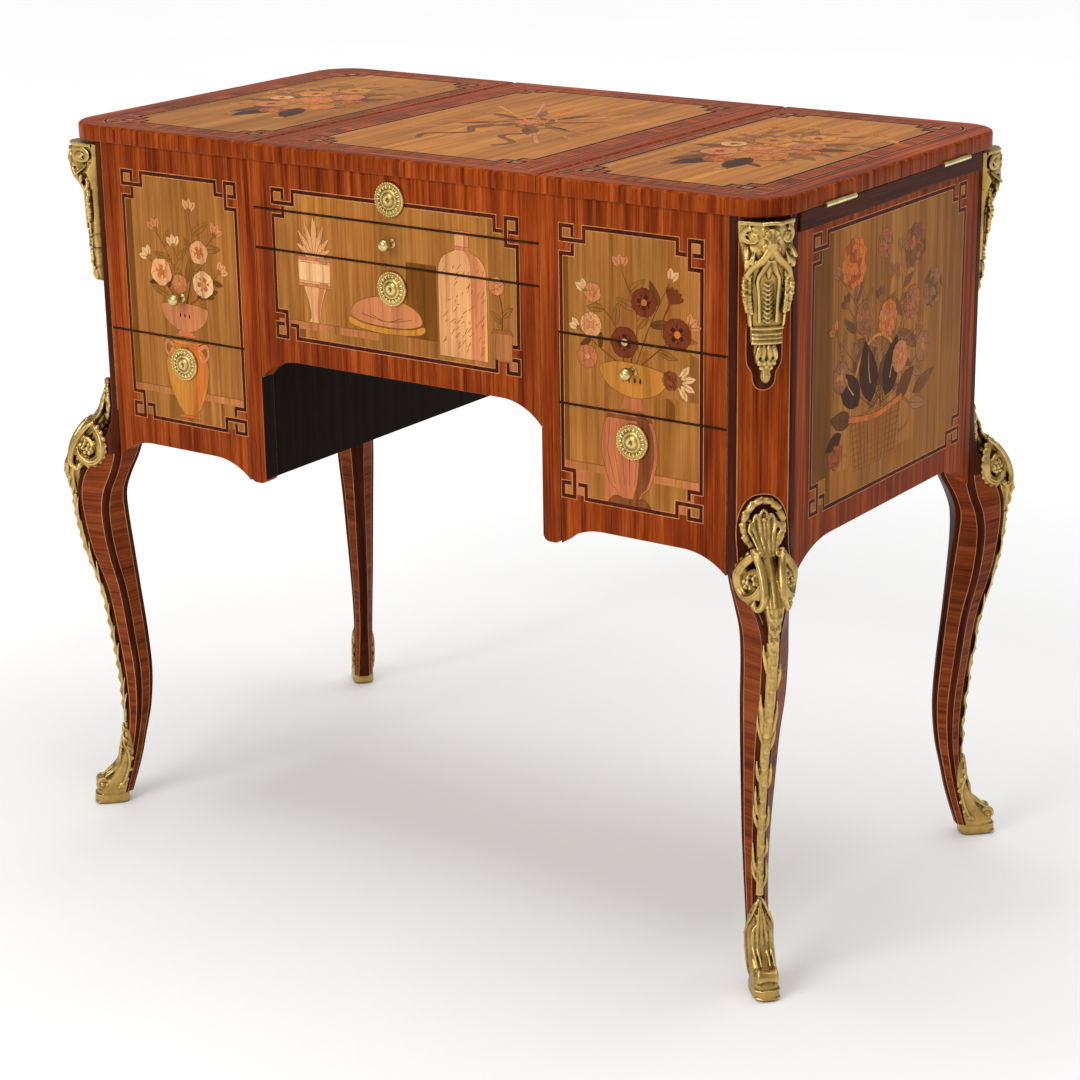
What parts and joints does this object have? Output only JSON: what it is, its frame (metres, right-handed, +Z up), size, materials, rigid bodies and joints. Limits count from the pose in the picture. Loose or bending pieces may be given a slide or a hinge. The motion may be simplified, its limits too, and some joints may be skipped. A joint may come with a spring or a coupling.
{
  "type": "poudreuse dressing table",
  "caption": "Marquetry dressing table with hinged side flaps, a rear-hinged mirror flap, a writing slide and drawers on cabriole legs.",
  "frame": {"origin": "on the floor under the middle of the table", "axes": "+X to the right of a person facing the front, -Y the front, +Z up"},
  "size_m": [0.8808, 0.4928, 0.75],
  "materials": {
    "tulipwood": "French polished tulipwood veneer",
    "amaranth": "French polished amaranth",
    "oak": "waxed oak",
    "ebonised_wood": "black stained",
    "gilt_bronze": "old gilt bronze",
    "brass": "aged brass",
    "mirror_glass": "silvered glass",
    "leather": "tooled green leather",
    "steel": "plain"
  },
  "bodies": {
    "base": {"leg_front_left": "tulipwood", "leg_front_right": "tulipwood", "leg_rear_left": "tulipwood", "leg_rear_right": "tulipwood", "side_panel_left": "tulipwood", "side_panel_right": "tulipwood", "side_rails": "amaranth", "back_panels_outer": "tulipwood", "back_panel_centre": "tulipwood", "partitions": "ebonised_wood", "inner_stiles": "tulipwood", "front_panel_left": "tulipwood", "front_panel_right": "tulipwood", "front_rail_centre": "tulipwood", "knob_left_panel": "brass", "escutcheon_rail": "gilt_bronze", "lock_rail": "brass", "well_floor_left": "oak", "well_floor_centre": "oak", "well_floor_right": "oak", "dust_boards": "oak", "drawer_runners": "oak", "corner_chutes": "gilt_bronze", "knee_mounts": "gilt_bronze", "leg_mounts": "gilt_bronze", "sabots": "gilt_bronze", "hinge_leaves_fixed": "brass", "hinge_pins": "steel"},
    "left_flap": {"flap_left": "tulipwood", "flap_left_hinge_leaves": "brass"},
    "right_flap": {"flap_right": "tulipwood", "flap_right_hinge_leaves": "brass"},
    "centre_flap": {"flap_centre": "tulipwood", "flap_centre_hinge_leaves": "brass", "flap_keep": "brass", "mirror_glass": "mirror_glass", "mirror_moulding": "amaranth"},
    "writing_slide": {"slide_front": "tulipwood", "slide_board": "oak", "slide_leather": "leather", "slide_knob": "brass"},
    "centre_drawer": {"drawer_centre_front": "tulipwood", "drawer_centre_carcass": "oak", "drawer_centre_bottom": "oak", "drawer_centre_escutcheon": "gilt_bronze", "drawer_centre_lock": "brass"},
    "left_drawer": {"drawer_left_front": "tulipwood", "drawer_left_carcass": "oak", "drawer_left_bottom": "oak", "drawer_left_escutcheon": "gilt_bronze", "drawer_left_lock": "brass"},
    "right_middle_drawer": {"drawer_right_middle_front": "tulipwood", "drawer_right_middle_carcass": "oak", "drawer_right_middle_bottom": "oak", "drawer_right_middle_knob": "brass"},
    "right_lower_drawer": {"drawer_right_lower_front": "tulipwood", "drawer_right_lower_carcass": "oak", "drawer_right_lower_bottom": "oak", "drawer_right_lower_escutcheon": "gilt_bronze", "drawer_right_lower_lock": "brass"}
  },
  "joints": [
    {"name": "left_flap_hinge", "type": "hinge", "parent": "base", "child": "left_flap", "pos_m": [-0.42, 0, 0.7328], "axis": [0, -1, 0], "range_deg": [0, 180]},
    {"name": "right_flap_hinge", "type": "hinge", "parent": "base", "child": "right_flap", "pos_m": [0.42, 0, 0.7328], "axis": [0, 1, 0], "range_deg": [0, 180]},
    {"name": "centre_flap_hinge", "type": "hinge", "parent": "base", "child": "centre_flap", "pos_m": [0, 0.226, 0.7328], "axis": [-1, 0, 0], "range_deg": [0, 100]},
    {"name": "writing_slide_pull", "type": "slide", "parent": "base", "child": "writing_slide", "axis": [0, -1, 0], "range_m": [0, 0.24]},
    {"name": "centre_drawer_pull", "type": "slide", "parent": "base", "child": "centre_drawer", "axis": [0, -1, 0], "range_m": [0, 0.3]},
    {"name": "left_drawer_pull", "type": "slide", "parent": "base", "child": "left_drawer", "axis": [0, -1, 0], "range_m": [0, 0.3]},
    {"name": "right_middle_drawer_pull", "type": "slide", "parent": "base", "child": "right_middle_drawer", "axis": [0, -1, 0], "range_m": [0, 0.3]},
    {"name": "right_lower_drawer_pull", "type": "slide", "parent": "base", "child": "right_lower_drawer", "axis": [0, -1, 0], "range_m": [0, 0.3]}
  ]
}
